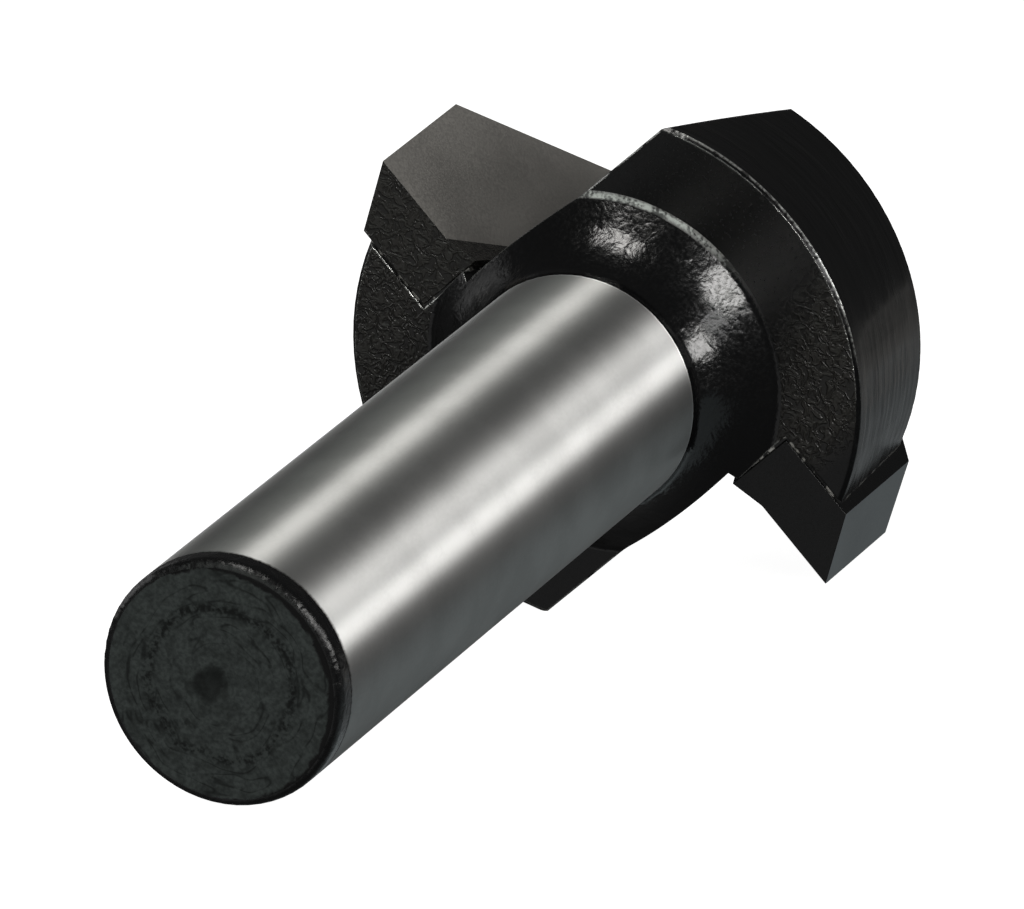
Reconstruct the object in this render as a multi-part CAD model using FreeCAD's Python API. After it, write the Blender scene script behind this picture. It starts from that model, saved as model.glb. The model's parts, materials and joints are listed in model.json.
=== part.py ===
import FreeCAD, Part
import math
import os

from FreeCAD import Placement, Rotation, Vector

# V-groove router bit with a plain shank and two brazed carbide tips, in millimetres.
#
# The bit is modelled along its own axis and then laid down as it comes to rest.
# Tool frame: Z runs from the shank's end face to the cutting point, tip A cuts near +X
# and the bit turns from +X towards +Y. Tip B is tip A turned half round the axis.

# Shank
shank_diameter = 8.0
shank_length = 28.15
end_round = 0.25
centre_mark_radius = 0.62
centre_mark_depth = 0.10

# Neck, flaring from the shank to the back of the head
neck_length = 2.17
neck_ring_radius = 6.0
neck_cone_angle = 52.0
neck_cone_rise = 0.75
neck_ring_fillet = 0.45

# Head: a thick disc that tapers a little, then a cone behind the cutting edges
head_back_radius = 8.86
head_front_radius = 8.60
head_length = 6.05
head_rim_break = 0.12
wing_corner_round = 0.30
nose_flat_radius = 0.30

# Gullets, one in front of each tip: a flat floor and the wall in line with the tip
gullet_floor_offset = 4.85
gullet_wall_offset = 1.50

# Carbide tips
cutting_radius = 9.88
side_edge_length = 5.63
groove_angle = 90.0
face_offset = 1.40
face_shear_angle = 2.5
tip_thickness = 2.20
tip_unground_height = 0.32
tip_inner_offset = 5.40
unground_width = 1.15
unground_run = 5.7
side_clearance_angle = 23.0
front_clearance_angle = 18.0
braze_thickness = 0.12
braze_recess = 0.10

# Worked out from the sizes above
shank_radius = shank_diameter / 2
head_back = shank_length + neck_length
head_shoulder = head_back + head_length
rim_height = head_back + head_rim_break
nose_slope = math.tan(math.radians(groove_angle / 2))
body_apex = head_shoulder + head_front_radius / nose_slope
face_slope = math.tan(math.radians(face_shear_angle))
edge_corner_x = math.sqrt(cutting_radius**2 - face_offset**2)
edge_shoulder = head_back + side_edge_length
shoulder_offset = face_offset - side_edge_length * face_slope
edge_shoulder_x = math.sqrt(cutting_radius**2 - shoulder_offset**2)
cutting_apex = edge_shoulder + edge_shoulder_x / nose_slope
unground_offset = face_offset - tip_unground_height
seat_offset = face_offset + tip_thickness

# Longer than the bit in every direction, for the cutting blocks
reach = 2 * (cutting_apex + cutting_radius)

half_turn = Rotation(Vector(0, 0, 1), 180)

# Enough tries for the point where the shank touches the ground to stop moving
settling_steps = 40

# Points nearer than this are the same point
same_place = 0.001


def beyond(point, normal):
    """Everything on the far side of the plane through a point, as a large block."""
    block = Part.makeBox(reach, reach, reach, Vector(-reach / 2, -reach / 2, 0))
    block.Placement = Placement(point, Rotation(Vector(0, 0, 1), normal))
    return block


def across_face(offset):
    """Everything in front of a plane parallel to the cutting face, offset behind the axis."""
    shear = math.radians(face_shear_angle)
    return beyond(Vector(0, -offset, head_back), Vector(0, math.cos(shear), -math.sin(shear)))


def outside_line(start_x, end_x, end_z):
    """Everything outside the plane along Y from start_x at the head's back to end_x at end_z."""
    run = end_z - head_back
    return beyond(Vector(start_x, 0, head_back), Vector(run, 0, start_x - end_x))


def on_both_sides(cutter):
    """The shape together with its copy turned half round the axis."""
    turned = cutter.copy()
    turned.Placement = Placement(Vector(), half_turn).multiply(turned.Placement)
    return [cutter, turned]


def turned_outline():
    """The closed half section of the steel body, in the XZ plane."""
    def at(radius, height):
        return Vector(radius, 0, height)

    # The cone at the top of the neck and the fillet in its crease with the head's back
    cone = math.radians(neck_cone_angle)
    up_cone = at(math.sin(cone), math.cos(cone))
    half_bend = (math.pi / 2 - cone) / 2
    fillet_reach = neck_ring_fillet * math.tan(half_bend)
    crease = at(neck_ring_radius, head_back)
    fillet_start = crease - up_cone * fillet_reach
    fillet_end = crease + at(fillet_reach, 0)
    fillet_centre = fillet_end - at(0, neck_ring_fillet)
    middle = cone + half_bend
    fillet_middle = fillet_centre + at(-math.cos(middle), math.sin(middle)) * neck_ring_fillet

    # The arc that leaves the cone in line with it and ends at the shank
    cone_start = crease - up_cone * (neck_cone_rise / math.sin(cone))
    neck_start = at(shank_radius, shank_length)
    out_of_cone = at(math.cos(cone), -math.sin(cone))
    chord = neck_start - cone_start
    arc_radius = chord.dot(chord) / (2 * chord.dot(out_of_cone))
    arc_centre = cone_start + out_of_cone * arc_radius
    bisector = (neck_start - arc_centre) + (cone_start - arc_centre)
    arc_middle = arc_centre + bisector.normalize() * arc_radius

    # The shallow centre mark in the end face and the rounded edge round it
    mark_middle = at(centre_mark_radius / 2, centre_mark_depth * 3 / 4)
    mark_edge = at(centre_mark_radius, 0)
    round_start = at(shank_radius - end_round, 0)
    round_end = at(shank_radius, end_round)
    round_reach = end_round * (1 - math.sqrt(0.5))
    round_middle = at(shank_radius - round_reach, round_reach)

    nose_height = body_apex - nose_flat_radius / nose_slope
    edges = [
        Part.Arc(at(0, centre_mark_depth), mark_middle, mark_edge).toShape(),
        Part.LineSegment(mark_edge, round_start).toShape(),
        Part.Arc(round_start, round_middle, round_end).toShape(),
        Part.LineSegment(round_end, neck_start).toShape(),
        Part.Arc(neck_start, arc_middle, cone_start).toShape(),
        Part.LineSegment(cone_start, fillet_start).toShape(),
        Part.Arc(fillet_start, fillet_middle, fillet_end).toShape(),
    ]
    corners = [
        fillet_end,
        at(head_back_radius - head_rim_break, head_back),
        at(head_back_radius, rim_height),
        at(head_front_radius, head_shoulder),
        at(nose_flat_radius, nose_height),
        at(0, nose_height),
        at(0, centre_mark_depth),
    ]
    edges += [Part.LineSegment(a, b).toShape() for a, b in zip(corners, corners[1:])]
    return Part.Face(Part.Wire(edges))


def grinding_sweep():
    """What the face grinding takes away in front of a tip, leaving a slanted corner by the neck."""
    inner_slope = tip_inner_offset / (cutting_apex - head_back)
    start = Vector(tip_inner_offset + unground_width, -face_offset, head_back)
    end = Vector(
        tip_inner_offset - unground_run * inner_slope,
        unground_run * face_slope - face_offset,
        head_back + unground_run,
    )
    rising = Vector(-unground_width, tip_unground_height, 0)
    outside = beyond(start, outward((end - start).cross(rising), Vector(1, 0, 0)))
    return across_face(face_offset).common(outside)


def seat_space(inner_offset, back_offset):
    """The space outside a tip's inner edge and in front of its back face."""
    outside = outside_line(inner_offset, inner_offset - tip_inner_offset, cutting_apex)
    return across_face(back_offset).common(outside)


def gullet():
    """The open space in front of tip A: its floor runs in to the axis at the body's apex."""
    return across_face(gullet_wall_offset).common(outside_line(gullet_floor_offset, 0, body_apex))


def steel_body(blank):
    """The turned blank with both gullets milled and the seats for the tips cut."""
    seat = seat_space(tip_inner_offset - braze_thickness, seat_offset + braze_thickness)
    body = blank
    for cutter in [gullet(), seat]:
        body = body.cut(on_both_sides(cutter))
    return body.makeFillet(wing_corner_round, wing_corners(body))


def wing_corners(body):
    """The edges to round: each wing's trailing corner and the one at the front of its rim."""
    def near(size, other):
        return abs(size - other) < same_place

    corners = []
    for edge in body.Edges:
        ends = [vertex.Point for vertex in edge.Vertexes]
        low = min(ends, key=lambda end: end.z)
        high = max(ends, key=lambda end: end.z)
        trailing = near(low.z, rim_height) and near(abs(low.x), gullet_floor_at(low.z))
        front = near(low.z, head_shoulder) and edge.Curve.TypeId == "Part::GeomCircle"
        if near(high.z, head_shoulder) and (trailing or front):
            corners.append(edge)
    return corners


def gullet_floor_at(height):
    """How far the gullet's floor lies from the axis, at a height along it."""
    return gullet_floor_offset * (body_apex - height) / (body_apex - head_back)


def carbide_tip():
    """Tip A: a plate between its seat and the cutting face, ground to the groove's angle."""
    plate = seat_space(tip_inner_offset, seat_offset).cut(across_face(unground_offset))
    plate = plate.cut(beyond(Vector(0, 0, head_back), Vector(0, 0, -1)))

    # The side edge and the groove edge both lie in the cutting face
    side_start = Vector(edge_corner_x, -face_offset, head_back)
    side_end = Vector(edge_shoulder_x, -shoulder_offset, edge_shoulder)
    rise = cutting_apex - edge_shoulder
    side_edge = side_end - side_start
    groove_edge = Vector(-edge_shoulder_x, rise * face_slope, rise)
    turn_back = math.atan2(face_offset, edge_corner_x) + math.radians(side_clearance_angle)
    side_back = Vector(-math.sin(turn_back), -math.cos(turn_back), 0)
    front_back = math.radians(front_clearance_angle)
    across = outward(groove_edge.cross(Vector(0, 1, 0)), Vector(0, 0, 1)).normalize()
    groove_back = Vector(0, -1, 0) * math.cos(front_back) - across * math.sin(front_back)
    plate = plate.cut(beyond(side_start, outward(side_edge.cross(side_back), Vector(1, 0, 0))))
    plate = plate.cut(beyond(side_end, outward(groove_edge.cross(groove_back), across)))
    return plate.cut(grinding_sweep())


def outward(normal, side):
    """The normal, turned if needed to point to the given side."""
    return normal if normal.dot(side) > 0 else normal * -1


def braze_seam(blank):
    """The thin layer of solder that fills tip A's seat, a little short of the back face."""
    seat = seat_space(tip_inner_offset - braze_thickness, seat_offset + braze_thickness)
    seam = seat.cut(across_face(gullet_wall_offset))
    seam = seam.cut(seat_space(tip_inner_offset, seat_offset))
    seam = seam.cut(beyond(Vector(0, 0, head_back + braze_recess), Vector(0, 0, -1)))
    return seam.common(blank)


def resting_normal():
    """The way down at rest: square to the plane through a tip's corner, the wing's trailing
    corner on the head's back and the lowest point of the shank's rim."""
    tip_corner = Vector(-edge_corner_x, face_offset, head_back)
    back_radius = head_back_radius - head_rim_break
    corner_y = math.sqrt(back_radius**2 - gullet_floor_offset**2)
    wing_corner = Vector(-gullet_floor_offset, -corner_y, head_back)
    turn = math.pi
    for _ in range(settling_steps):
        rim = Vector(shank_radius * math.cos(turn), shank_radius * math.sin(turn), end_round)
        down = (tip_corner - rim).cross(wing_corner - rim).normalize()
        down = outward(down, tip_corner)
        turn = math.atan2(down.y, down.x)
    return down, down.dot(tip_corner)


def lie_down(shapes):
    """Lay the bit on the ground with its axis over the X axis, centred on the origin."""
    down, depth = resting_normal()
    heading = (Vector(0, 0, 1) - down * down.z).normalize()
    upright = down * -1
    turn = Rotation(heading, upright.cross(heading), upright, "XZY").inverted()
    laid = Placement(Vector(0, 0, depth), turn)
    for shape in shapes.values():
        shape.Placement = laid.multiply(shape.Placement)
    box = Part.Compound(list(shapes.values())).optimalBoundingBox(False)
    centre = Vector(-box.Center.x, -box.Center.y, 0)
    for shape in shapes.values():
        shape.translate(centre)
    return shapes


def main():
    blank = turned_outline().revolve(Vector(), Vector(0, 0, 1), 360)
    tip = carbide_tip()
    seam = braze_seam(blank)
    shapes = {"steel_body": steel_body(blank)}
    for letter, tip_copy, seam_copy in zip("ab", on_both_sides(tip), on_both_sides(seam)):
        shapes["carbide_tip_" + letter] = tip_copy
        shapes["braze_seam_" + letter] = seam_copy
    shapes = lie_down(shapes)

    os.makedirs("parts", exist_ok=True)
    for name, shape in shapes.items():
        solids = shape.Solids
        print(name, len(solids), "solid", round(shape.Volume, 3), "mm3", shape.isValid())
        shape.exportStep("parts/" + name + ".step")
    down, depth = resting_normal()
    print("axis tilt at rest", round(math.degrees(math.asin(-down.z)), 3), "degrees")


main()
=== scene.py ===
"""The looks of a v-groove router bit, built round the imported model.

Every piece is modelled in the tool frame, in millimetres: Z runs from the shank's end face to the
cutting point, tip A cuts near +X and the bit turns from +X towards +Y. The tool frame is then laid
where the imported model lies.
"""

import json
import logging
import math
from dataclasses import dataclass
from enum import Enum
from functools import reduce
from typing import Iterable, Sequence

import bmesh
import bpy
from mathutils import Matrix, Vector


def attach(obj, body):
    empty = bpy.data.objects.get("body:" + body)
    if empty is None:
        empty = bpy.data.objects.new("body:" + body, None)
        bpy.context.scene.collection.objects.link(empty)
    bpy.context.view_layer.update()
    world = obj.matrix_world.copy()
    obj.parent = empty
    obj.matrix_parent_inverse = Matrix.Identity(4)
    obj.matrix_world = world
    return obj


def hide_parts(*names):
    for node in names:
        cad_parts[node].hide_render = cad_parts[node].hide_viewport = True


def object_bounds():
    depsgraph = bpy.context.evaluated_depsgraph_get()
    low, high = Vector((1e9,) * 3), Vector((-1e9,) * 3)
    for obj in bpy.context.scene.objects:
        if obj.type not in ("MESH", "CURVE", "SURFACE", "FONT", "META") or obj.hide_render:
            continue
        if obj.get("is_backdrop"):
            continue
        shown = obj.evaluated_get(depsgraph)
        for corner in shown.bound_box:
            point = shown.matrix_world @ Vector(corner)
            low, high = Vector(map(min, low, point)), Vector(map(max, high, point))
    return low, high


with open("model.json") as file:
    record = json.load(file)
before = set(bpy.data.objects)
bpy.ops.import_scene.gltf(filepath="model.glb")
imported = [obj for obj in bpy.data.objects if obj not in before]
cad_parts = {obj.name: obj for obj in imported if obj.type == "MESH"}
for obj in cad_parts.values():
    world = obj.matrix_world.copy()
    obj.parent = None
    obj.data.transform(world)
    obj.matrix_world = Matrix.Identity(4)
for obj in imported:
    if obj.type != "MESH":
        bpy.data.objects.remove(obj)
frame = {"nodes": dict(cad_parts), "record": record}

log = logging.getLogger("router_bit")

Colour = tuple[float, float, float]
Place = tuple[float, float, float]
Socket = bpy.types.NodeSocket

MILLIMETRE = 0.001
BODY = "root"
HALF_TURN = Matrix.Rotation(math.pi, 3, "Z")
NO_TURN = Matrix.Identity(3)
ALONG_X = Vector((1, 0, 0))
ALONG_Y = Vector((0, 1, 0))
ALONG_Z = Vector((0, 0, 1))
UNSTRETCHED = (1.0, 1.0, 1.0)
NOISE_MIDDLE = 0.5
NOISE_SPAN = (0.3, 0.7)
BEVEL_SAMPLES = 6
MIX_FACTOR = 0
MIX_COLOURS = (6, 7)
MIX_RESULT = 2


class Surface(Enum):
    """The surfaces of the steel body, in the order of its material slots."""

    SHANK = 0
    END_BAND = 1
    END_FACE = 2
    NECK = 3
    BACK_FACE = 4
    RIM_BREAK = 5
    RIM = 6
    GULLET = 7


class TipSurface(Enum):
    """The surfaces of a carbide tip, in the order of its material slots."""

    CUTTING_FACE = 0
    CLEARANCE = 1
    COATED = 2


@dataclass(frozen=True)
class Plane:
    """A plane through a point, whose normal points to its outer side."""

    point: Vector
    normal: Vector

    def flipped(self) -> "Plane":
        """The same plane with its outer side the other way."""
        return Plane(self.point, -self.normal)


@dataclass(frozen=True)
class ToolFrame:
    """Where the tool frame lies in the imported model.

    Args:
        matrix: Takes tool coordinates in millimetres to the model's in metres.
    """

    matrix: Matrix

    @classmethod
    def from_model(
        cls, shank_round: float, corner_angle: float, corner_slack: float = 0.02
    ) -> "ToolFrame":
        """Reads the axis from the shank's mount and the roll from a tip's corner.

        Args:
            shank_round: Height of the rounded edge below the gripped part of the shank.
            corner_angle: Angle of the tip's rear outer corner in the tool frame, in radians.
            corner_slack: How much nearer the axis than the outermost corner a corner may be and
                still count as outermost, in millimetres.

        Returns:
            The tool frame of the model as it lies.
        """
        mount = frame["record"]["mounts"][0]
        axis = -Vector(mount["axis"]).normalized()
        middle = Vector(mount["pos_m"])
        to_end = (mount["dims"]["length_mm"] / 2 + shank_round) * MILLIMETRE
        origin = middle - axis * to_end

        def across(vertex: bpy.types.MeshVertex) -> Vector:
            """The vertex's place as seen from the axis."""
            offset = vertex.co - origin
            return offset - axis * offset.dot(axis)

        vertices = frame["nodes"]["carbide_tip_a"].data.vertices
        reach = max(across(v).length for v in vertices) - corner_slack * MILLIMETRE
        outermost = [v for v in vertices if across(v).length > reach]
        rear = min(outermost, key=lambda v: (v.co - origin).dot(axis))
        x_axis = Matrix.Rotation(-corner_angle, 3, axis) @ across(rear).normalized()
        y_axis = axis.cross(x_axis)
        turn = Matrix((x_axis, y_axis, axis)).transposed().to_4x4()
        return cls(Matrix.Translation(origin) @ turn @ Matrix.Scale(MILLIMETRE, 4))

    def point(self, x: float, y: float, z: float) -> Vector:
        """A point of the tool frame in the model's frame, in metres."""
        return self.matrix @ Vector((x, y, z))

    def direction(self, x: float, y: float, z: float) -> Vector:
        """A direction of the tool frame in the model's frame, of unit length."""
        return (self.matrix.to_3x3() @ Vector((x, y, z))).normalized()


def facing(normal: Vector, side: Vector) -> Vector:
    """The unit normal, turned if needed to point to the given side."""
    return normal.normalized() if normal.dot(side) > 0 else -normal.normalized()


def closed_block(half_size: float, planes: Iterable[Plane]) -> bmesh.types.BMesh:
    """A cube that is cut down to the inner side of each plane.

    Args:
        half_size: Half the cube's edge.
        planes: The cuts. What lies on a plane's outer side is taken off.

    Returns:
        The closed convex block.
    """
    block = bmesh.new()
    bmesh.ops.create_cube(block, size=2 * half_size)
    for plane in planes:
        geometry = block.verts[:] + block.edges[:] + block.faces[:]
        bmesh.ops.bisect_plane(
            block, geom=geometry, plane_co=plane.point, plane_no=plane.normal, clear_outer=True
        )
        bmesh.ops.holes_fill(block, edges=[e for e in block.edges if e.is_boundary])
    bmesh.ops.recalc_face_normals(block, faces=block.faces)
    return block


def as_object(name: str, mesh: bmesh.types.BMesh) -> bpy.types.Object:
    """Puts a bmesh in the scene as an object and frees it.

    Args:
        name: The object's name.
        mesh: The bmesh, which can't be used afterwards.

    Returns:
        The new object.
    """
    data = bpy.data.meshes.new(name)
    mesh.to_mesh(data)
    mesh.free()
    piece = bpy.data.objects.new(name, data)
    bpy.context.scene.collection.objects.link(piece)
    return piece


def settle_modifiers(piece: bpy.types.Object) -> None:
    """Replaces a piece's mesh by what its modifiers make of it, and drops the modifiers.

    Args:
        piece: The object that has the modifiers.
    """
    graph = bpy.context.evaluated_depsgraph_get()
    finished = bpy.data.meshes.new_from_object(piece.evaluated_get(graph))
    piece.modifiers.clear()
    piece.data = finished


def carve(piece: bpy.types.Object, cutter: bpy.types.Object) -> None:
    """Takes the cutter out of the piece and removes it from the scene.

    Args:
        piece: The object to cut.
        cutter: The closed block to take out of it.
    """
    cut = piece.modifiers.new(cutter.name, "BOOLEAN")
    cut.operation = "DIFFERENCE"
    cut.solver = "EXACT"
    cut.object = cutter
    settle_modifiers(piece)
    bpy.data.objects.remove(cutter)


def smooth_by_angle(piece: bpy.types.Object, degrees: float, large_face_weight: int = 90) -> None:
    """Shades a piece smooth, apart from edges that turn more than the angle.

    Args:
        piece: The object to shade.
        degrees: The angle from which an edge stays sharp.
        large_face_weight: How much more a large face counts than its small neighbours, up to 100.
    """
    piece.data.shade_smooth()
    piece.data.set_sharp_from_angle(angle=math.radians(degrees))
    weigh = piece.modifiers.new("weigh_normals", "WEIGHTED_NORMAL")
    weigh.keep_sharp = True
    weigh.weight = large_face_weight
    settle_modifiers(piece)


@dataclass(frozen=True)
class BitSizes:
    """The sizes of the bit, in millimetres and degrees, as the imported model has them.

    Args:
        end_round: Radius of the rounded edge of the shank's end.
        band_height: Height of the black band at the shank's end.
        rim_break: Width of the broken edge between the head's back face and its rim.
        side_edge_length: Length of the cutting edge along the head's side.
        face_offset: How far the cutting face lies behind the axis at the head's back.
        face_shear: How far the cutting face leans from the axis.
        unground_height: How far the un-ground front of a tip stands before its cutting face.
        tip_inner: X of a tip's inner corner at the head's back.
        unground_width: Width of the slant between the un-ground corner and the cutting face.
        unground_run: Length of the un-ground corner along the axis.
        block_half_size: Half the edge of the cubes that the tips are cut from.
    """

    shank_radius: float = 4.0
    shank_length: float = 28.15
    end_round: float = 0.25
    band_height: float = 0.72
    neck_length: float = 2.17
    back_radius: float = 8.86
    front_radius: float = 8.60
    rim_break: float = 0.12
    cutting_radius: float = 9.88
    side_edge_length: float = 5.63
    face_offset: float = 1.40
    face_shear: float = 2.5
    tip_thickness: float = 2.20
    unground_height: float = 0.32
    tip_inner: float = 5.40
    unground_width: float = 1.15
    unground_run: float = 5.7
    side_clearance: float = 23.0
    front_clearance: float = 18.0
    block_half_size: float = 60.0

    @property
    def head_back(self) -> float:
        """Height of the head's back face."""
        return self.shank_length + self.neck_length

    @property
    def corner_x(self) -> float:
        """X of tip A's rear outer corner."""
        return math.sqrt(self.cutting_radius**2 - self.face_offset**2)

    @property
    def corner_angle(self) -> float:
        """Angle of tip A's rear outer corner round the axis, in radians."""
        return math.atan2(-self.face_offset, self.corner_x)

    @property
    def face_slope(self) -> float:
        """How far the cutting face leans over in each millimetre along the axis."""
        return math.tan(math.radians(self.face_shear))

    @property
    def edge_shoulder(self) -> Vector:
        """Where the side edge meets the groove edge."""
        offset = self.face_offset - self.side_edge_length * self.face_slope
        x = math.sqrt(self.cutting_radius**2 - offset**2)
        return Vector((x, -offset, self.head_back + self.side_edge_length))

    @property
    def cutting_apex(self) -> float:
        """Height of the groove edge's end on the axis."""
        return self.edge_shoulder.z + self.edge_shoulder.x

    def across_face(self, offset: float) -> Plane:
        """A plane along the cutting face, facing the way that tip A cuts.

        Args:
            offset: How far behind the axis it passes at the head's back.

        Returns:
            The plane.
        """
        shear = math.radians(self.face_shear)
        normal = Vector((0, math.cos(shear), -math.sin(shear)))
        return Plane(Vector((0, -offset, self.head_back)), normal)

    def outside_line(self, start_x: float, end_x: float, end_z: float) -> Plane:
        """A plane facing out, through start_x at the head's back and end_x at the height end_z."""
        normal = Vector((end_z - self.head_back, 0, start_x - end_x)).normalized()
        return Plane(Vector((start_x, 0, self.head_back)), normal)


@dataclass(frozen=True)
class Pattern:
    """Noise over a piece.

    Args:
        a_millimetre: About how many bumps there are in a millimetre.
        detail: How many times finer noise is added.
        distortion: How much the bumps are bent.
        stretch: Scale of the tool frame's axes under the noise. A scale under 1 draws the bumps
            out along that axis.
    """

    a_millimetre: float
    detail: float = 2.0
    distortion: float = 0.0
    stretch: tuple[float, float, float] = UNSTRETCHED


@dataclass(frozen=True)
class Fade:
    """A smooth change of one value while another one goes from a first to a last.

    Args:
        first: The other value where the change starts.
        last: The other value where the change ends.
        before: The value before the change.
        after: The value after it.
    """

    first: float
    last: float
    before: float = 0.0
    after: float = 1.0


class Shading:
    """Builds one material's nodes round its Principled BSDF.

    Args:
        name: The material's name.
        tool: The tool frame, which the material's patterns follow.
    """

    def __init__(self, name: str, tool: ToolFrame) -> None:
        self.material = bpy.data.materials.new(name)
        self.material.use_nodes = True
        self.tree = self.material.node_tree
        self.surface = self.tree.nodes["Principled BSDF"]
        self.tool = tool
        self.tool_point = self.find_tool_point()

    def feed(self, socket: Socket, value: object) -> None:
        """Links an output socket to an input, or sets the input's value.

        Args:
            socket: The input.
            value: The output socket or the value.
        """
        if isinstance(value, Socket):
            self.tree.links.new(value, socket)
        else:
            socket.default_value = value

    def node(self, kind: str, **sockets: object) -> bpy.types.Node:
        """Adds a node and sets or links its inputs.

        Args:
            kind: The node's type name after "ShaderNode".
            sockets: Input names, with spaces as underscores, or node properties in lower case,
                to values or output sockets.

        Returns:
            The new node.
        """
        made = self.tree.nodes.new("ShaderNode" + kind)
        for name, value in sockets.items():
            if name[0].islower():
                setattr(made, name, value)
            else:
                self.feed(made.inputs[name.replace("_", " ")], value)
        return made

    def dress(self, **sockets: object) -> None:
        """Sets or links inputs of the Principled BSDF.

        Args:
            sockets: Input names, with spaces as underscores, to values or output sockets.
        """
        for name, value in sockets.items():
            self.feed(self.surface.inputs[name.replace("_", " ")], value)

    def calculation(self, kind: str, operation: str, values: Iterable[object]) -> bpy.types.Node:
        """Adds a math or vector math node.

        Args:
            kind: "Math" or "VectorMath".
            operation: The node's operation.
            values: Values or output sockets, in the order of the node's inputs.

        Returns:
            The new node.
        """
        made = self.node(kind, operation=operation)
        for socket, value in zip(made.inputs, values):
            self.feed(socket, value)
        return made

    def math(self, operation: str, *values: object) -> Socket:
        """The result of a math node on the values."""
        return self.calculation("Math", operation, values).outputs[0]

    def measure(self, operation: str, *vectors: object) -> Socket:
        """The number that a vector math node finds from the vectors."""
        return self.calculation("VectorMath", operation, vectors).outputs["Value"]

    def product(self, *values: object) -> Socket:
        """The product of two or more values or output sockets."""
        return reduce(lambda first, second: self.math("MULTIPLY", first, second), values)

    def mean(self, first: Socket, second: Socket) -> Socket:
        """The value halfway between two values."""
        return self.product(self.math("ADD", first, second), 0.5)

    def gap(self, value: Socket, middle: float) -> Socket:
        """How far a value is from a middle value, on either side."""
        return self.math("ABSOLUTE", self.math("SUBTRACT", value, middle))

    def fade(self, value: Socket, change: Fade) -> Socket:
        """The value that changes with the given one."""
        made = self.node(
            "MapRange", interpolation_type="SMOOTHSTEP", Value=value, From_Min=change.first,
            From_Max=change.last, To_Min=change.before, To_Max=change.after,
        )
        return made.outputs[0]

    def spread(self, noise: Socket, low: float, high: float) -> Socket:
        """A value that goes from low to high with the noise."""
        return self.fade(noise, Fade(*NOISE_SPAN, low, high))

    def blend(self, factor: Socket, first: object, second: object) -> Socket:
        """A colour between two colours.

        Args:
            factor: 0 at the first colour and 1 at the second.
            first: A colour or an output socket.
            second: The other one.

        Returns:
            The blended colour.
        """
        made = self.node("Mix", data_type="RGBA")
        self.feed(made.inputs[MIX_FACTOR], factor)
        for place, colour in zip(MIX_COLOURS, (first, second)):
            self.feed(made.inputs[place], colour if isinstance(colour, Socket) else (*colour, 1.0))
        return made.outputs[MIX_RESULT]

    def noise(self, pattern: Pattern, where: Socket | None = None) -> Socket:
        """Noise between 0 and 1.

        Args:
            pattern: The noise.
            where: The point where it is read, which is the shaded point unless given.

        Returns:
            The noise's value.
        """
        point = self.tool_point if where is None else where
        if pattern.stretch != UNSTRETCHED:
            point = self.node("Mapping", Vector=point, Scale=pattern.stretch).outputs[0]
        made = self.node(
            "TexNoise", Vector=point, Scale=pattern.a_millimetre, Detail=pattern.detail,
            Distortion=pattern.distortion,
        )
        return made.outputs["Fac"]

    def find_tool_point(self) -> Socket:
        """The shaded point in the tool frame, in millimetres."""
        place, turn, scale = self.tool.matrix.inverted().decompose()
        where = self.node("TexCoord").outputs["Object"]
        mapping = self.node(
            "Mapping", Vector=where, Location=place, Rotation=turn.to_euler(), Scale=scale
        )
        return mapping.outputs[0]

    def tool_axes(self) -> tuple[Socket, ...]:
        """The shaded point's X, Y and Z in the tool frame, in millimetres."""
        return tuple(self.node("SeparateXYZ", Vector=self.tool_point).outputs)

    def along_axis(self) -> Socket:
        """The direction of the tool axis."""
        axis = self.tool.direction(*ALONG_Z)
        return self.node("CombineXYZ", X=axis.x, Y=axis.y, Z=axis.z).outputs[0]

    def radius(self) -> Socket:
        """The shaded point's distance from the tool axis, in millimetres."""
        across = (self.tool_point, (1.0, 1.0, 0.0))
        return self.measure("LENGTH", self.calculation("VectorMath", "MULTIPLY", across).outputs[0])

    def reach_towards(self, side: Place) -> Socket:
        """How far the shaded point lies from the tool axis towards a side, in millimetres."""
        return self.measure("DOT_PRODUCT", self.tool_point, side)

    def rounded(self, millimetres: float) -> Socket:
        """The normal with the piece's sharp edges rounded to the given radius."""
        return self.node("Bevel", samples=BEVEL_SAMPLES, Radius=millimetres * MILLIMETRE).outputs[0]

    def edge_turn(self, rounded: Socket) -> Socket:
        """How far a rounded normal turns from the surface's own: 0 away from the edges."""
        own = self.node("NewGeometry").outputs["Normal"]
        return self.math("SUBTRACT", 1.0, self.measure("DOT_PRODUCT", rounded, own))

    def bump(self, height: Socket, millimetres: float, under: Socket | None = None) -> Socket:
        """The normal over bumps.

        Args:
            height: The bumps' shape, from 0 to 1.
            millimetres: Their height.
            under: The normal that they lie on, which is the surface's own unless given.

        Returns:
            The bumps' normal.
        """
        made = self.node("Bump", Height=height, Strength=1.0, Distance=millimetres * MILLIMETRE)
        if under is not None:
            self.feed(made.inputs["Normal"], under)
        return made.outputs[0]


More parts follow.
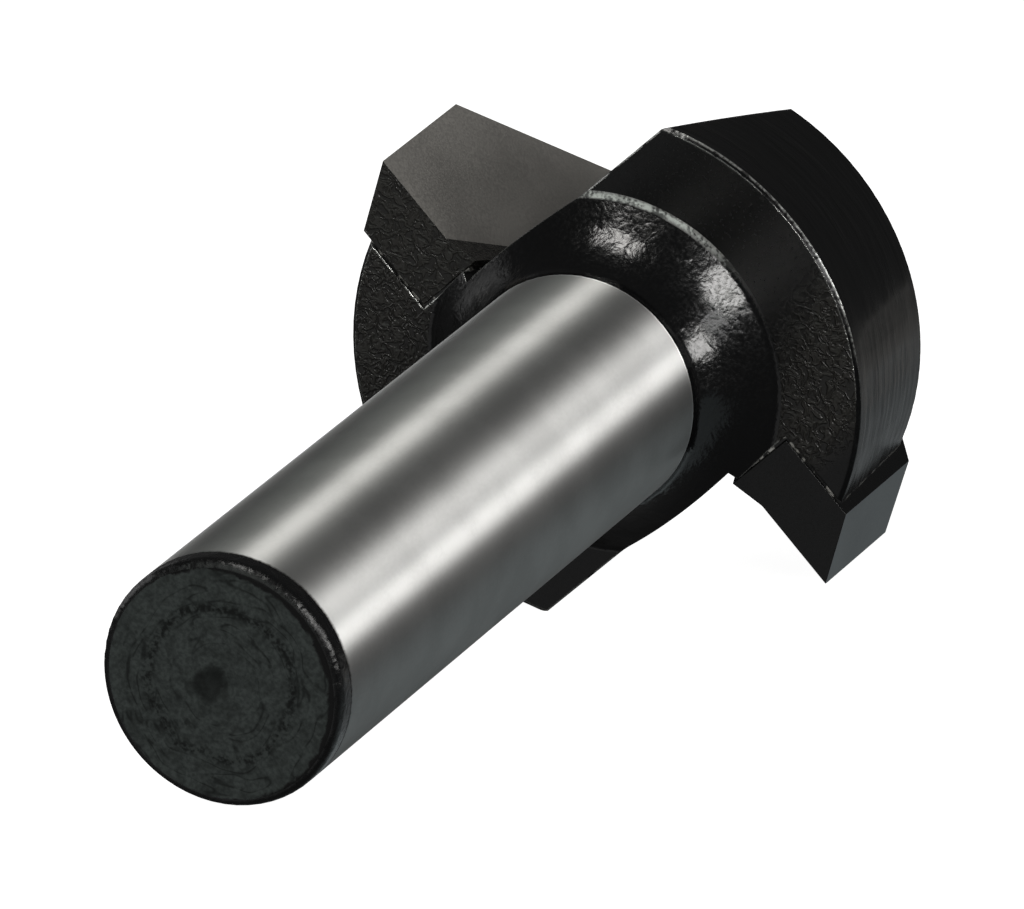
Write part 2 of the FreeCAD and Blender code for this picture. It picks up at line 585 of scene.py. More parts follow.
@dataclass(frozen=True)
class GroundSteel:
    """Bright steel, ground round the axis, so that its gloss spreads along the axis.

    Args:
        band_height: Height of the black band at the shank's end.
        neck_height: Height where the neck's coat starts.
        dull_share: Brightness of the duller places, as a share of the brighter ones'.
        coat_end: How far over the band's height the black coat starts to thin out.
        bare_start: How far over the band's height the steel is bare.
        raggedness: How far the coat's end wanders, in millimetres.
        highlight_rim_width: Width of the painted highlight line beside the neck, a brighter steel all
            round.
    """

    band_height: float
    neck_height: float
    colour: Colour = (0.66, 0.66, 0.65)
    coat_colour: Colour = (0.012, 0.012, 0.012)
    # The colour of the painted highlight line beside the neck.
    highlight_rim_colour: Colour = (0.98, 0.98, 0.97)
    dull_share: float = 0.88
    roughness: tuple[float, float] = (0.48, 0.52)
    lines: Pattern = Pattern(16.0, 3.0, stretch=(0.12, 0.12, 1.0))
    line_height: float = 0.0004
    clouds: Pattern = Pattern(0.35)
    grain: Pattern = Pattern(9.0, stretch=(1.0, 1.0, 0.5))
    grain_share: float = 0.25
    mottling: Fade = Fade(0.45, 0.80)
    coat_end: float = 0.04
    bare_start: float = 0.22
    raggedness: float = 0.12
    highlight_rim_width: float = 0.10

    def material(self, tool: ToolFrame) -> bpy.types.Material:
        """Makes the finish.

        Args:
            tool: The tool frame.

        Returns:
            The material.
        """
        shade = Shading("ground_steel", tool)
        lines = shade.noise(self.lines)
        grain = shade.noise(self.grain)
        mottle = shade.math("ADD", shade.noise(self.clouds), shade.product(grain, self.grain_share))
        duller = tuple(c * self.dull_share for c in self.colour)
        steel = shade.blend(shade.fade(mottle, self.mottling), duller, self.colour)
        height = shade.tool_axes()[2]
        ragged = shade.math("ADD", height, shade.product(grain, self.raggedness))
        band_top = Fade(self.band_height + self.coat_end, self.band_height + self.bare_start)
        banded = shade.blend(shade.fade(ragged, band_top), self.coat_colour, steel)
        # Painted highlight: the steel is made brighter in a thin line just below the neck's coat.
        painted_highlight_rim = shade.fade(height, Fade(self.neck_height - self.highlight_rim_width, self.neck_height))
        shade.dress(
            Metallic=1.0,
            Anisotropic=1.0,
            Base_Color=shade.blend(painted_highlight_rim, banded, self.highlight_rim_colour),
            Roughness=shade.spread(lines, *self.roughness),
            Tangent=shade.along_axis(),
            Normal=shade.bump(lines, self.line_height),
        )
        return shade.material


@dataclass(frozen=True)
class BlackCoat:
    """A glossy black coat over steel, uneven as lacquer is, rubbed through, and painted bare where
    highlights fall.

    Args:
        peel: The coat's broad bumps.
        grit: Its fine bumps.
        coarse_height: Height of the worm-like bumps beside the seats, or 0 for none.
        coarse: How coarse the coat is, by X times Y.
        dusty: How coarse and dusty it is, by X.
        bare_and_highlight_outside: How bare the steel is, by the distance from the axis, if it is bare
            at all.
        bare_and_lit_side: The side of the axis where it is bare, which is where a painted highlight
            falls.
        bare_and_highlight_reach: How bare it is, by the distance towards that side.
        bare_and_highlight_thin: How bare it is, by the noise of the coat's last traces.
        edge_wear_and_highlight: How much of the edges is rubbed through to bright steel, from 0 to 1;
            it also paints their highlights.
        worn_and_lit_side: How worn the edges are, by X, which keeps the bright steel to the side where
            highlights fall.
        broken_from: Where the rubbing starts in the noise of the patches, on a coat with none.
        broken_fade: How far over that the coat is rubbed through.
        broken_by_wear: How much lower it starts when the edges are fully rubbed.
    """

    name: str
    colour: Colour = (0.0026, 0.0027, 0.0029)
    roughness: float = 0.17
    smoother: float = 0.05
    rougher: float = 0.06
    gloss: float = 0.32
    peel: Pattern = Pattern(2.6, 1.0, 0.6)
    peel_height: float = 0.016
    grit: Pattern = Pattern(9.0, 3.0)
    grit_height: float = 0.004
    lumps: Pattern = Pattern(2.8, 1.5, 1.1)
    worm: Fade = Fade(0.0, 0.15, 1.0, 0.0)
    coarse_height: float = 0.0
    coarse: Fade = Fade(-11.0, -25.0)
    dusty_colour: Colour = (0.022, 0.021, 0.019)
    dusty: Fade = Fade(-7.2, -5.8)
    edge_radius: float = 0.06
    edge: Fade = Fade(0.02, 0.12)
    patches: Pattern = Pattern(1.4, 3.0)
    bare_and_highlight_outside: Fade | None = None
    bare_and_lit_side: Place = (0.64, 0.77, 0.0)
    bare_and_highlight_reach: Fade = Fade(4.2, 5.7)
    bare_and_highlight_thin: Fade = Fade(0.42, 0.55, 0.08, 0.7)
    edge_wear_and_highlight: float = 0.0
    worn_and_lit_side: Fade = Fade(-6.5, -4.5)
    broken_from: float = 0.62
    broken_fade: float = 0.08
    broken_by_wear: float = 0.3
    # Bright steel of the rubbed and bare places, partly wear and partly painted highlight.
    worn_and_highlight_colour: Colour = (0.62, 0.63, 0.61)

    def coarse_part(self, shade: Shading) -> Socket:
        """How coarse and dusty the coat is, from 0 to 1."""
        x, y, _ = shade.tool_axes()
        return shade.product(shade.fade(shade.product(x, y), self.coarse), shade.fade(x, self.dusty))

    def worms(self, shade: Shading, coarse: Socket) -> Socket:
        """The worm-like bumps of the coarse part."""
        ridges = shade.fade(shade.gap(shade.noise(self.lumps), NOISE_MIDDLE), self.worm)
        return shade.product(ridges, coarse)

    def broken(self) -> Fade:
        """How far the coat is rubbed through, by the noise of the patches."""
        start = self.broken_from - self.broken_by_wear * self.edge_wear_and_highlight
        return Fade(start, start + self.broken_fade, 0.0, self.edge_wear_and_highlight)

    def rubbed_and_highlit_edges(self, shade: Shading, rounded: Socket, patches: Socket) -> Socket:
        """How bright the edges are, from 0 to 1: coat rubbed through, and painted highlights on the lit
        side.
        """
        edges = shade.product(
            shade.fade(shade.edge_turn(rounded), self.edge), shade.fade(patches, self.broken())
        )
        # The lit side's mask makes these edges a painted highlight as well as wear.
        return shade.product(edges, shade.fade(shade.tool_axes()[0], self.worn_and_lit_side))

    def bare_and_highlight_places(self, shade: Shading, traces: Socket) -> Socket:
        """How bare the steel is on the lit side, from 0 to 1: thin coat and painted highlight in one.
        """
        side = shade.fade(shade.reach_towards(self.bare_and_lit_side), self.bare_and_highlight_reach)
        outside = shade.fade(shade.radius(), self.bare_and_highlight_outside)
        return shade.product(outside, side, shade.fade(traces, self.bare_and_highlight_thin))

    def material(self, tool: ToolFrame) -> bpy.types.Material:
        """Makes the finish.

        Args:
            tool: The tool frame.

        Returns:
            The material.
        """
        shade = Shading(self.name, tool)
        grit = shade.noise(self.grit)
        patches = shade.noise(self.patches)
        rounded = shade.rounded(self.edge_radius)
        gritty = shade.bump(grit, self.grit_height, rounded)
        normal = shade.bump(shade.noise(self.peel), self.peel_height, gritty)
        tone = self.colour
        if self.coarse_height:
            coarse = self.coarse_part(shade)
            worms = self.worms(shade, coarse)
            normal = shade.bump(worms, self.coarse_height, normal)
            tone = shade.blend(shade.mean(worms, coarse), self.colour, self.dusty_colour)
        # Bright steel on edges and on the lit side of creases: partly wear and thin coat, partly
        # painted highlight.
        steel = self.rubbed_and_highlit_edges(shade, rounded, patches)
        if self.bare_and_highlight_outside is not None:
            bare = self.bare_and_highlight_places(shade, shade.mean(grit, patches))
            steel = shade.math("MAXIMUM", steel, bare)
        smoothest = self.roughness - self.smoother
        shade.dress(
            Base_Color=shade.blend(steel, tone, self.worn_and_highlight_colour),
            Metallic=steel,
            Roughness=shade.spread(grit, smoothest, self.roughness + self.rougher),
            Specular_IOR_Level=self.gloss,
            Normal=normal,
        )
        return shade.material


@dataclass(frozen=True)
class BrushedCoat:
    """Black oxide on the head's rim, with turning marks round the axis.

    Args:
        depth: How the marks' depth follows the patches.
    """

    colour: Colour = (0.0028, 0.0029, 0.0030)
    roughness: tuple[float, float] = (0.14, 0.30)
    gloss: float = 0.32
    lines: Pattern = Pattern(3.4, 4.0, stretch=(0.10, 0.10, 1.0))
    line_height: float = 0.030
    patches: Pattern = Pattern(0.8, 3.0, stretch=(0.5, 0.5, 1.2))
    depth: Fade = Fade(0.35, 0.65, 0.4, 1.0)
    edge_radius: float = 0.06

    def material(self, tool: ToolFrame) -> bpy.types.Material:
        """Makes the finish.

        Args:
            tool: The tool frame.

        Returns:
            The material.
        """
        shade = Shading("brushed_coat", tool)
        lines = shade.noise(self.lines)
        uneven = shade.product(lines, shade.fade(shade.noise(self.patches), self.depth))
        shade.dress(
            Base_Color=(*self.colour, 1.0),
            Specular_IOR_Level=self.gloss,
            Roughness=shade.spread(lines, *self.roughness),
            Normal=shade.bump(uneven, self.line_height, shade.rounded(self.edge_radius)),
        )
        return shade.material


@dataclass(frozen=True)
class TurnedEnd:
    """The shank's end face: dark, matt and turned, with the black coat creeping in at its border.

    Args:
        waviness: How far the turning marks wander, in millimetres.
        blotch_tone: How the face's tone follows the blotches.
        grain_tone: How it follows the grain.
        mark_drift: How soon a turning mark ends round the axis.
        mark_line: Darkness of a thin mark across its width.
        mark_gaps: How the thin marks fade with the blotches.
        mark_start: How they set in, by the distance from the axis.
        ring_middle: Radius of the deep turning mark, with half the waviness.
        ring_line: Darkness of that mark across its width.
        ring_gaps: How it fades with the blotches and the grain.
        spot_place: The dark spot's middle in the tool frame.
        spot: Its darkness, by the distance from there.
        border: How far the coat covers the border, by the distance from the axis.
        thick_side: The side where that coat is wider.
        thicker: How much wider it is for each millimetre to that side.
        blotch_reach: How far the blotches move the edges of the spot and the border's coat.
    """

    dark: Colour = (0.0020, 0.0024, 0.0023)
    light: Colour = (0.048, 0.056, 0.054)
    coat_colour: Colour = (0.003, 0.003, 0.003)
    gloss: float = 0.18
    roughness: float = 0.5
    coat_roughness: float = 0.2
    blotches: Pattern = Pattern(1.9, 6.0, 0.5)
    blotch_height: float = 0.02
    blotch_tone: Fade = Fade(0.36, 0.62, 0.66, 1.0)
    blotch_reach: float = 0.5
    grain: Pattern = Pattern(7.0, 3.0)
    grain_tone: Fade = Fade(0.35, 0.65, 0.62, 1.0)
    broad: Pattern = Pattern(0.45)
    waviness: float = 0.9
    marks: Pattern = Pattern(2.2, 1.0)
    mark_drift: float = 0.22
    mark_line: Fade = Fade(0.0, 0.05, 0.65, 0.0)
    mark_gaps: Fade = Fade(0.45, 0.62, 1.0, 0.25)
    mark_start: Fade = Fade(0.8, 1.7)
    ring_middle: float = 2.90
    ring_line: Fade = Fade(0.03, 0.30, 1.0, 0.0)
    ring_gaps: Fade = Fade(0.42, 0.56, 0.85, 0.20)
    spot_place: Place = (0.24, -0.33, 0.0)
    spot: Fade = Fade(0.55, 1.05, 0.75, 0.0)
    border: Fade = Fade(3.90, 4.02)
    thick_side: Place = (-0.34, 0.94, 0.0)
    thicker: float = 0.05
    edge_radius: float = 0.30

    def thin_marks(self, shade: Shading, wavy: Socket, blotch: Socket) -> Socket:
        """Thin turning marks, fainter here and there, and none near the middle.

        Args:
            shade: The material that is being built.
            wavy: The distance from the axis, with the turning's waviness.
            blotch: The blotches.

        Returns:
            The marks' darkness, from 0 to 1.
        """
        x, y, _ = shade.tool_axes()
        drift_x = shade.product(x, self.mark_drift)
        drift_y = shade.product(y, self.mark_drift)
        turned = shade.node("CombineXYZ", X=wavy, Y=drift_x, Z=drift_y).outputs[0]
        line = shade.fade(shade.gap(shade.noise(self.marks, turned), NOISE_MIDDLE), self.mark_line)
        off_middle = shade.fade(shade.radius(), self.mark_start)
        return shade.product(line, shade.fade(blotch, self.mark_gaps), off_middle)

    def deep_mark(self, shade: Shading, wavy: Socket, specks: Socket) -> Socket:
        """Darkness of the deep turning mark, which the specks break up."""
        line = shade.fade(shade.gap(wavy, self.ring_middle), self.ring_line)
        return shade.product(line, shade.fade(specks, self.ring_gaps))

    def middle_spot(self, shade: Shading, uneven: Socket) -> Socket:
        """Darkness of the spot near the middle, with its edge moved by so many millimetres."""
        distance = shade.measure("DISTANCE", shade.tool_point, self.spot_place)
        return shade.fade(shade.math("ADD", distance, uneven), self.spot)

    def border_coat(self, shade: Shading, uneven: Socket) -> Socket:
        """How far the coat covers the face, from 0 to 1, with its edge moved in the same way."""
        wider = shade.product(shade.reach_towards(self.thick_side), self.thicker)
        creep = shade.math("ADD", wider, uneven)
        return shade.fade(shade.math("ADD", shade.radius(), creep), self.border)

    def material(self, tool: ToolFrame) -> bpy.types.Material:
        """Makes the finish.

        Args:
            tool: The tool frame.

        Returns:
            The material.
        """
        shade = Shading("turned_end", tool)
        blotch = shade.noise(self.blotches)
        grain = shade.noise(self.grain)
        wave = shade.product(shade.noise(self.broad), self.waviness)
        wavy = shade.math("ADD", shade.radius(), wave)
        uneven = shade.product(blotch, self.blotch_reach)
        darkness = self.thin_marks(shade, wavy, blotch)
        for mark in (
            self.deep_mark(shade, wavy, shade.mean(blotch, grain)),
            self.middle_spot(shade, uneven),
        ):
            darkness = shade.math("MAXIMUM", darkness, mark)
        tone = shade.product(
            shade.fade(blotch, self.blotch_tone),
            shade.fade(grain, self.grain_tone),
            shade.math("SUBTRACT", 1.0, darkness),
        )
        coated = self.border_coat(shade, uneven)
        face = shade.blend(tone, self.dark, self.light)
        rounded = shade.rounded(self.edge_radius)
        shade.dress(
            Base_Color=shade.blend(coated, face, self.coat_colour),
            Roughness=shade.fade(coated, Fade(0.0, 1.0, self.roughness, self.coat_roughness)),
            Specular_IOR_Level=self.gloss,
            Normal=shade.bump(blotch, self.blotch_height, rounded),
        )
        return shade.material


@dataclass(frozen=True)
class Carbide:
    """Ground tungsten carbide.

    Args:
        speckle_share: Share of the fine speckle in the mottling. The clouds have the rest.
        dark_share: Brightness of the darker places, as a share of the brighter ones'.
    """

    name: str
    colour: Colour
    roughness: float
    roughness_spread: float = 0.03
    speckle: Pattern = Pattern(12.0)
    speckle_height: float = 0.0015
    speckle_share: float = 0.35
    clouds: Pattern = Pattern(0.3)
    mottling: Fade = Fade(0.35, 0.65)
    dark_share: float = 0.80

    def material(self, tool: ToolFrame) -> bpy.types.Material:
        """Makes the finish.

        Args:
            tool: The tool frame.

        Returns:
            The material.
        """
        shade = Shading(self.name, tool)
        speckle = shade.noise(self.speckle)
        clouds = shade.product(shade.noise(self.clouds), 1.0 - self.speckle_share)
        mottle = shade.math("ADD", shade.product(speckle, self.speckle_share), clouds)
        darker = tuple(c * self.dark_share for c in self.colour)
        smoothest = self.roughness - self.roughness_spread
        roughest = self.roughness + self.roughness_spread
        shade.dress(
            Metallic=1.0,
            Base_Color=shade.blend(shade.fade(mottle, self.mottling), darker, self.colour),
            Roughness=shade.spread(speckle, smoothest, roughest),
            Normal=shade.bump(speckle, self.speckle_height),
        )
        return shade.material


@dataclass(frozen=True)
class Solder:
    """Silver solder, sunk in its joint and darkened by the coat, with bright places."""

    dark: Colour = (0.004, 0.004, 0.004)
    colour: Colour = (0.62, 0.61, 0.57)
    roughness: float = 0.28
    lumps: Pattern = Pattern(3.0)
    lump_height: float = 0.02
    bright: Fade = Fade(0.50, 0.58)

    def material(self, tool: ToolFrame) -> bpy.types.Material:
        """Makes the finish.

        Args:
            tool: The tool frame.

        Returns:
            The material.
        """
        shade = Shading("silver_solder", tool)
        lumps = shade.noise(self.lumps)
        bright = shade.fade(lumps, self.bright)
        shade.dress(
            Metallic=bright,
            Base_Color=shade.blend(bright, self.dark, self.colour),
            Roughness=self.roughness,
            Normal=shade.bump(lumps, self.lump_height),
        )
        return shade.material


@dataclass
class SteelBody:
    """The shank, neck and head, turned and milled from one piece.

    Args:
        sizes: The bit's sizes.
        tool: The tool frame.
        merge_distance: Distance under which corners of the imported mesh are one, in millimetres.
        flat_angle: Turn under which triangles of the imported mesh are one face, in degrees.
        smooth_angle: Turn from which an edge stays sharp, in degrees.
        end_facing: Least share of the normal along the axis on the end face.
        back_facing: The same on the head's back face.
        break_facing: Least share of the normal away from the axis on the rim's broken edge.
        rim_facing: The same on the rim.
        rim_slack: How far inside the head's front radius the rim may lie, in millimetres.
    """

    sizes: BitSizes
    tool: ToolFrame
    merge_distance: float = 0.002
    flat_angle: float = 0.3
    smooth_angle: float = 34.0
    end_facing: float = 0.9
    back_facing: float = 0.999
    break_facing: float = 0.5
    rim_facing: float = 0.7
    rim_slack: float = 0.2

    def merged_copy(self) -> bmesh.types.BMesh:
        """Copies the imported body's mesh and joins its triangles into whole faces.

        Returns:
            The copy, in the tool frame.
        """
        mesh = bmesh.new()
        mesh.from_mesh(frame["nodes"]["steel_body"].data)
        mesh.transform(self.tool.matrix.inverted())
        bmesh.ops.remove_doubles(mesh, verts=mesh.verts, dist=self.merge_distance)
        bmesh.ops.dissolve_limit(
            mesh, angle_limit=math.radians(self.flat_angle), verts=mesh.verts, edges=mesh.edges
        )
        return mesh

    def surface_at(self, centre: Vector, normal: Vector) -> Surface:
        """Finds the surface that a face of the body belongs to.

        Args:
            centre: The face's centre in the tool frame.
            normal: Its normal.

        Returns:
            The surface.
        """
        s = self.sizes
        radius = centre.xy.length
        outwards = normal.dot(Vector((centre.x, centre.y, 0)).normalized())
        if centre.z < s.band_height:
            on_end = radius < s.shank_radius - s.end_round and normal.z < -self.end_facing
            return Surface.END_FACE if on_end else Surface.END_BAND
        if centre.z < s.shank_length:
            return Surface.SHANK
        if centre.z < s.head_back + s.rim_break:
            if normal.z < -self.back_facing:
                return Surface.BACK_FACE
            if radius > s.back_radius - 2 * s.rim_break and outwards > self.break_facing:
                return Surface.RIM_BREAK
            return Surface.NECK if centre.z < s.head_back else Surface.GULLET
        if radius > s.front_radius - self.rim_slack and outwards > self.rim_facing:
            return Surface.RIM
        return Surface.GULLET

    def material(self, surface: Surface) -> bpy.types.Material:
        """Makes a surface's finish.

        Args:
            surface: The surface.

        Returns:
            Its material.
        """
        finishes = {
            Surface.SHANK: GroundSteel(self.sizes.band_height, self.sizes.shank_length),
            Surface.END_BAND: BlackCoat(
                "end_coat", roughness=0.24, gloss=0.5, peel_height=0.04, edge_radius=0.30
            ),
            Surface.END_FACE: TurnedEnd(),
            # The neck's bare strip by the crease, on one side only, is a painted highlight given as
            # bare steel.
            Surface.NECK: BlackCoat(
                "neck_coat", roughness=0.17, gloss=0.5, grit_height=0.007, edge_wear_and_highlight=0.85,
                bare_and_highlight_outside=Fade(5.88, 5.96),
            ),
            Surface.BACK_FACE: BlackCoat(
                "back_coat", roughness=0.22, peel_height=0.003, grit_height=0.001,
                coarse_height=0.036, edge_wear_and_highlight=0.9, edge_radius=0.10,
            ),
            # The rim's broken edge is bare on one side only: partly wear, partly a painted highlight.
            Surface.RIM_BREAK: BlackCoat(
                "break_coat", bare_and_highlight_outside=Fade(8.79, 8.87), bare_and_lit_side=(0.0, 1.0, 0.0),
                bare_and_highlight_reach=Fade(7.2, 8.2), bare_and_highlight_thin=Fade(0.42, 0.55, 0.08, 0.9), edge_wear_and_highlight=0.8,
                edge_radius=0.05,
            ),
            Surface.RIM: BrushedCoat(),
            Surface.GULLET: BlackCoat(
                "gullet_coat", roughness=0.26, peel_height=0.008, grit_height=0.0015, edge_wear_and_highlight=0.9
            ),
        }
        return finishes[surface].material(self.tool)

    def build(self) -> bpy.types.Object:
        """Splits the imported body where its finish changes, and dresses it.

        Returns:
            The finished piece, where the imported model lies.
        """
        mesh = self.merged_copy()
        bmesh.ops.bisect_plane(
            mesh, geom=mesh.verts[:] + mesh.edges[:] + mesh.faces[:],
            plane_co=(0, 0, self.sizes.band_height), plane_no=ALONG_Z,
        )
        mesh.normal_update()
        for face in mesh.faces:
            face.material_index = self.surface_at(face.calc_center_median(), face.normal).value
        piece = as_object("steel_body_dressed", mesh)

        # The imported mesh's own normals no longer fit its merged faces
        carried = piece.data.attributes.get("custom_normal")
        if carried is not None:
            piece.data.attributes.remove(carried)
        for surface in Surface:
            piece.data.materials.append(self.material(surface))
        smooth_by_angle(piece, self.smooth_angle)
        piece.data.transform(self.tool.matrix)
        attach(piece, BODY)
        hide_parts("steel_body")
        return piece


@dataclass
class CarbideTip:
    """One carbide plate, ground to the groove's angle.

    Args:
        letter: The tip's letter.
        turn: Takes tip A to this tip's place.
        sizes: The bit's sizes.
        tool: The tool frame.
        plane_slack: How far from its plane a ground face may lie, in millimetres.
        plane_facing: Least share of its normal along the plane's.
    """

    letter: str
    turn: Matrix
    sizes: BitSizes
    tool: ToolFrame
    plane_slack: float = 0.01
    plane_facing: float = 0.99

    def clearance_planes(self) -> list[Plane]:
        """The faces that are ground behind the side edge and behind the groove edge.

        Returns:
            The two planes, facing out.
        """
        s = self.sizes
        start = Vector((s.corner_x, -s.face_offset, s.head_back))
        shoulder = s.edge_shoulder
        rise = s.cutting_apex - shoulder.z
        groove_edge = Vector((-shoulder.x, rise * s.face_slope, rise))
        turn_back = math.atan2(s.face_offset, s.corner_x) + math.radians(s.side_clearance)
        side_back = Vector((-math.sin(turn_back), -math.cos(turn_back), 0))
        across = facing(groove_edge.cross(ALONG_Y), ALONG_Z)
        lean = math.radians(s.front_clearance)
        groove_back = Vector((0, -math.cos(lean), 0)) - across * math.sin(lean)
        side_normal = facing((shoulder - start).cross(side_back), ALONG_X)
        groove_normal = facing(groove_edge.cross(groove_back), across)
        return [Plane(start, side_normal), Plane(shoulder, groove_normal)]

    def plate(self) -> bpy.types.Object:
        """Makes the plate between its seat and its un-ground front, ground along both edges.

        Returns:
            The plate.
        """
        s = self.sizes
        planes = [
            s.across_face(s.face_offset + s.tip_thickness).flipped(),
            s.outside_line(s.tip_inner, 0, s.cutting_apex).flipped(),
            s.across_face(s.face_offset - s.unground_height),
            Plane(ALONG_Z * s.head_back, -ALONG_Z),
        ] + self.clearance_planes()
        return as_object(f"carbide_tip_{self.letter}_dressed", closed_block(s.block_half_size, planes))

    def grinding(self) -> bpy.types.Object:
        """Makes what the face grinding takes off, leaving a slanted corner by the neck.

        Returns:
            The block to take off.
        """
        s = self.sizes
        slope = s.tip_inner / (s.cutting_apex - s.head_back)
        start = Vector((s.tip_inner + s.unground_width, -s.face_offset, s.head_back))
        run = s.unground_run
        end = Vector((s.tip_inner - run * slope, run * s.face_slope - s.face_offset, s.head_back + run))
        rising = Vector((-s.unground_width, s.unground_height, 0))
        outside = Plane(start, facing((end - start).cross(rising), ALONG_X))
        planes = [s.across_face(s.face_offset).flipped(), outside.flipped()]
        return as_object("grinding", closed_block(s.block_half_size, planes))

    def surface_at(self, centre: Vector, normal: Vector) -> TipSurface:
        """Finds the surface that a face of the tip belongs to, by the plane it was ground on.

        Args:
            centre: The face's centre in the tool frame.
            normal: Its normal.

        Returns:
            The surface.
        """
        ground = [(TipSurface.CUTTING_FACE, self.sizes.across_face(self.sizes.face_offset))]
        ground += [(TipSurface.CLEARANCE, plane) for plane in self.clearance_planes()]
        for surface, plane in ground:
            off_plane = abs((centre - plane.point).dot(plane.normal))
            if off_plane < self.plane_slack and normal.dot(plane.normal) > self.plane_facing:
                return surface
        return TipSurface.COATED

    def material(self, surface: TipSurface) -> bpy.types.Material:
        """Makes a surface's finish.

        Args:
            surface: The surface.

        Returns:
            Its material.
        """
        finishes = {
            # The cutting face's light carbide and the clearance's dark carbide are one ground carbide,
            # lit and shaded: painted light and shade.
            TipSurface.CUTTING_FACE: Carbide(f"cutting_face_{self.letter}", (0.75, 0.725, 0.68), 0.50),
            TipSurface.CLEARANCE: Carbide(f"clearance_{self.letter}", (0.17, 0.185, 0.19), 0.34),
            TipSurface.COATED: BlackCoat(
                f"tip_coat_{self.letter}", roughness=0.24, peel_height=0.006, grit_height=0.001,
                coarse_height=0.024, coarse=Fade(0.0, -6.0), dusty=Fade(0.0, 1.4),
                edge_radius=0.04, edge_wear_and_highlight=0.2,
            ),
        }
        return finishes[surface].material(self.tool)

    def build(self) -> bpy.types.Object:
        """Grinds and dresses the tip, and turns it to its place.

        Returns:
            The finished piece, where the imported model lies.
        """
        piece = self.plate()
        carve(piece, self.grinding())
        piece.data.materials.clear()
        for surface in TipSurface:
            piece.data.materials.append(self.material(surface))
        for face in piece.data.polygons:
            face.material_index = self.surface_at(face.center, face.normal).value
        piece.data.transform(self.tool.matrix @ self.turn.to_4x4())
        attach(piece, BODY)
        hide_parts(f"carbide_tip_{self.letter}")
        return piece


@dataclass(frozen=True)
class Softbox:
    """A flat studio light that faces the bit.

    Args:
        azimuth: Its direction round the vertical as seen from the bit, in degrees.
        elevation: Its direction over the horizon, in degrees.
        width: How wide it looks from the bit, in degrees.
        height: How high it looks from the bit, in degrees.
        radiance: Its brightness.
        distance: How far away it hangs, in metres.
    """

    name: str
    azimuth: float
    elevation: float
    width: float
    height: float
    radiance: float
    distance: float = 0.6
    colour: Colour = (1.0, 1.0, 1.0)

    def extent(self, degrees: float) -> float:
        """The length at the light's distance that looks so wide from the bit."""
        return 2 * self.distance * math.tan(math.radians(degrees) / 2)

    def build(self, centre: Vector) -> bpy.types.Object:
        """Hangs the light.

        Args:
            centre: What it faces, in metres.

        Returns:
            The light.
        """
        turn = math.radians(self.azimuth)
        rise = math.radians(self.elevation)
        level = math.cos(rise)
        away = Vector((level * math.cos(turn), level * math.sin(turn), math.sin(rise)))
        data = bpy.data.lights.new(self.name, "AREA")
        data.shape = "RECTANGLE"
        data.size = self.extent(self.width)
        data.size_y = self.extent(self.height)
        data.energy = self.radiance * math.pi * data.size * data.size_y
        data.color = self.colour
        light = bpy.data.objects.new(self.name, data)
        light.location = centre + away * self.distance
        light.rotation_mode = "QUATERNION"
        light.rotation_quaternion = away.to_track_quat("Z", "Y")
        light.visible_camera = False
        bpy.context.scene.collection.objects.link(light)
        return light


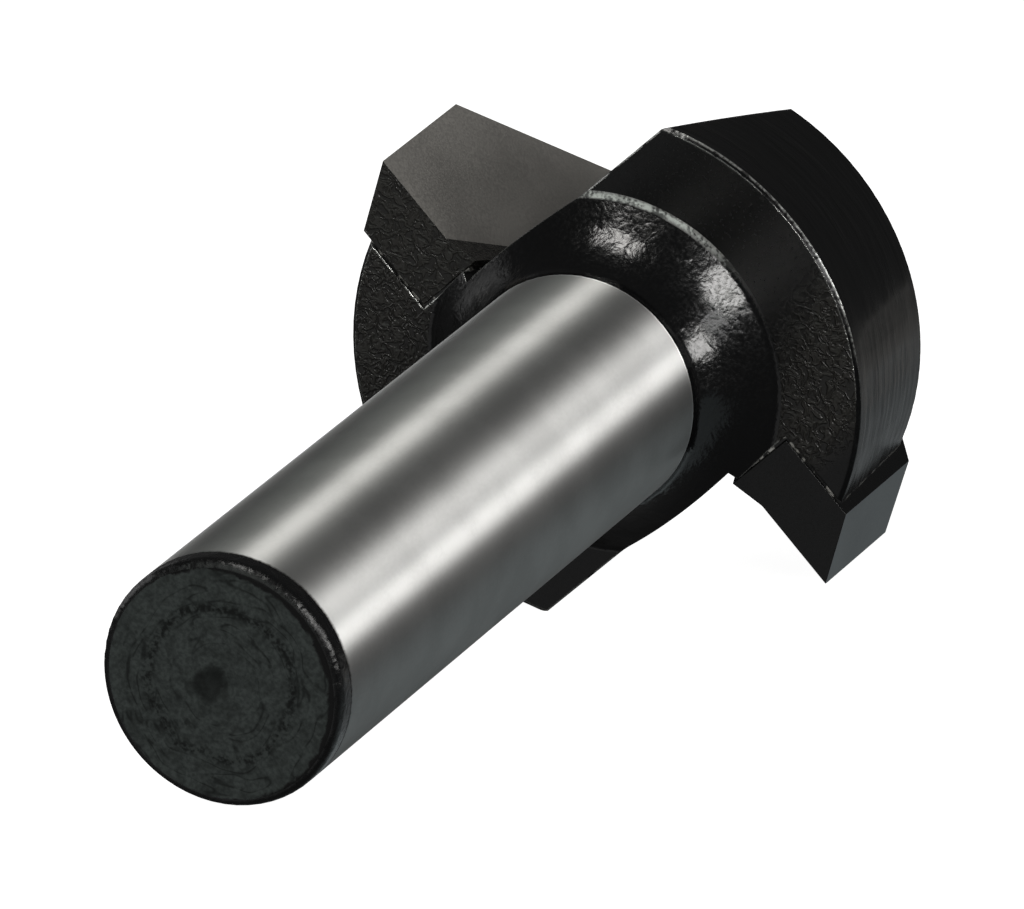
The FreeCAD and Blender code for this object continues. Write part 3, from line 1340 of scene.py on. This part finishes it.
@dataclass
class Studio:
    """The camera, the lights and the floor.

    Args:
        tool: The tool frame.
        camera_place: The camera's place in the tool frame.
        camera_right: The picture's right in the tool frame.
        camera_up: The picture's upper side in the tool frame.
        lens: The camera's focal length, in millimetres.
        sensor: Its sensor's width, in millimetres.
        clip: The nearest and the farthest that it sees, in metres.
        floor_size: The floor's edge, in metres.
        floor_glow: The floor's own brightness, which makes it the white background.
        ambient: Brightness of the even light from all sides.
    """

    tool: ToolFrame
    camera_place: Place = (-0.19, 238.15, -386.87)
    camera_right: Place = (-0.63235, 0.66958, 0.3896)
    camera_up: Place = (0.77468, 0.54656, 0.318)
    lens: float = 524.5
    sensor: float = 36.0
    clip: tuple[float, float] = (0.01, 50.0)
    floor_size: float = 8.0
    floor_colour: Colour = (0.8, 0.8, 0.8)
    floor_glow: float = 0.94
    ambient: float = 0.06
    softboxes: tuple[Softbox, ...] = (
        Softbox("overhead_box", -171, 58, 15, 11, 15.0, colour=(1.0, 0.985, 0.95)),
        Softbox("left_side_box", -139, 12.5, 18, 12, 15.5, colour=(1.0, 0.99, 0.97)),
        Softbox("right_side_box", -99, 1.5, 18, 14, 12.5, colour=(1.0, 0.99, 0.97)),
        Softbox("middle_box", -120, 5.5, 16, 8, 5.5),
        Softbox("window", 168, 12, 26, 44, 0.9, colour=(0.93, 1.0, 0.94)),
        Softbox("front_card", 152, -24, 44, 22, 0.30),
        Softbox("edge_box", 112, 20, 26, 20, 2.0),
        Softbox("rear_card", 65, 22, 44, 26, 0.45),
        Softbox("rim_card", -12, -11.5, 60, 8, 0.18, colour=(1.0, 0.97, 0.91)),
        Softbox("floor_glow", 0, -24, 85, 18, 0.17, colour=(0.88, 0.97, 1.0)),
        Softbox("low_card", -40, -48, 90, 30, 0.21, colour=(0.82, 0.97, 1.0)),
    )

    def camera(self) -> None:
        """Sets the camera at the photograph's place."""
        data = bpy.data.cameras.new("camera")
        data.lens = self.lens
        data.sensor_width = self.sensor
        data.clip_start, data.clip_end = self.clip
        camera = bpy.data.objects.new("camera", data)
        right = self.tool.direction(*self.camera_right)
        up = self.tool.direction(*self.camera_up)
        turn = Matrix((right, up, right.cross(up))).transposed()
        camera.matrix_world = Matrix.Translation(self.tool.point(*self.camera_place)) @ turn.to_4x4()
        bpy.context.scene.collection.objects.link(camera)
        bpy.context.scene.camera = camera

    def world(self) -> None:
        """Sets the even light of the studio."""
        world = bpy.data.worlds.new("studio")
        world.use_nodes = True
        background = world.node_tree.nodes["Background"]
        background.inputs["Color"].default_value = (self.ambient, self.ambient, self.ambient, 1.0)
        background.inputs["Strength"].default_value = 1.0
        bpy.context.scene.world = world

    def floor(self) -> None:
        """Lays a white floor that the bit doesn't mirror."""
        mesh = bmesh.new()
        bmesh.ops.create_grid(mesh, x_segments=1, y_segments=1, size=self.floor_size / 2)
        floor = as_object("floor", mesh)
        material = bpy.data.materials.new("floor_paper")
        material.use_nodes = True
        surface = material.node_tree.nodes["Principled BSDF"]
        surface.inputs["Base Color"].default_value = (*self.floor_colour, 1.0)
        surface.inputs["Roughness"].default_value = 1.0
        surface.inputs["Specular IOR Level"].default_value = 0.0
        surface.inputs["Emission Color"].default_value = (1.0, 1.0, 1.0, 1.0)
        surface.inputs["Emission Strength"].default_value = self.floor_glow
        floor.data.materials.append(material)
        floor.visible_diffuse = False
        floor.visible_glossy = False
        floor.visible_shadow = False
        floor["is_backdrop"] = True

    def build(self) -> None:
        """Sets up the studio."""
        self.camera()
        self.world()
        self.floor()
        low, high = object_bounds()
        for softbox in self.softboxes:
            softbox.build((low + high) / 2)
        view = bpy.context.scene.view_settings
        view.view_transform = "Standard"
        view.look = "None"


def solder_seam(letter: str, tool: ToolFrame) -> bpy.types.Object:
    """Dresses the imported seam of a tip, whose shape stays as it is.

    Args:
        letter: The tip's letter.
        tool: The tool frame.

    Returns:
        The seam.
    """
    seam = frame["nodes"][f"braze_seam_{letter}"]
    seam.data.materials.clear()
    seam.data.materials.append(Solder().material(tool))
    return seam


def write_sizes(packed: Sequence[Vector]) -> None:
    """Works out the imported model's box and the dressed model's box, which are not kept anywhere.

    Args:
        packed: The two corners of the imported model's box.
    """
    packed_box, dressed_box = ([list(corner) for corner in box] for box in (packed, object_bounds()))


def main() -> None:
    """Builds every piece, reports it and sets up the studio."""
    logging.basicConfig(level=logging.INFO)
    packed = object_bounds()
    sizes = BitSizes()
    tool = ToolFrame.from_model(sizes.end_round, sizes.corner_angle)
    pieces = [SteelBody(sizes, tool).build()]
    for letter, turn in (("a", NO_TURN), ("b", HALF_TURN)):
        pieces.append(CarbideTip(letter, turn, sizes, tool).build())
        pieces.append(solder_seam(letter, tool))
    for piece in pieces:
        log.info("%s has %d faces", piece.name, len(piece.data.polygons))
    Studio(tool).build()
    write_sizes(packed)


if __name__ == "__main__":
    main()
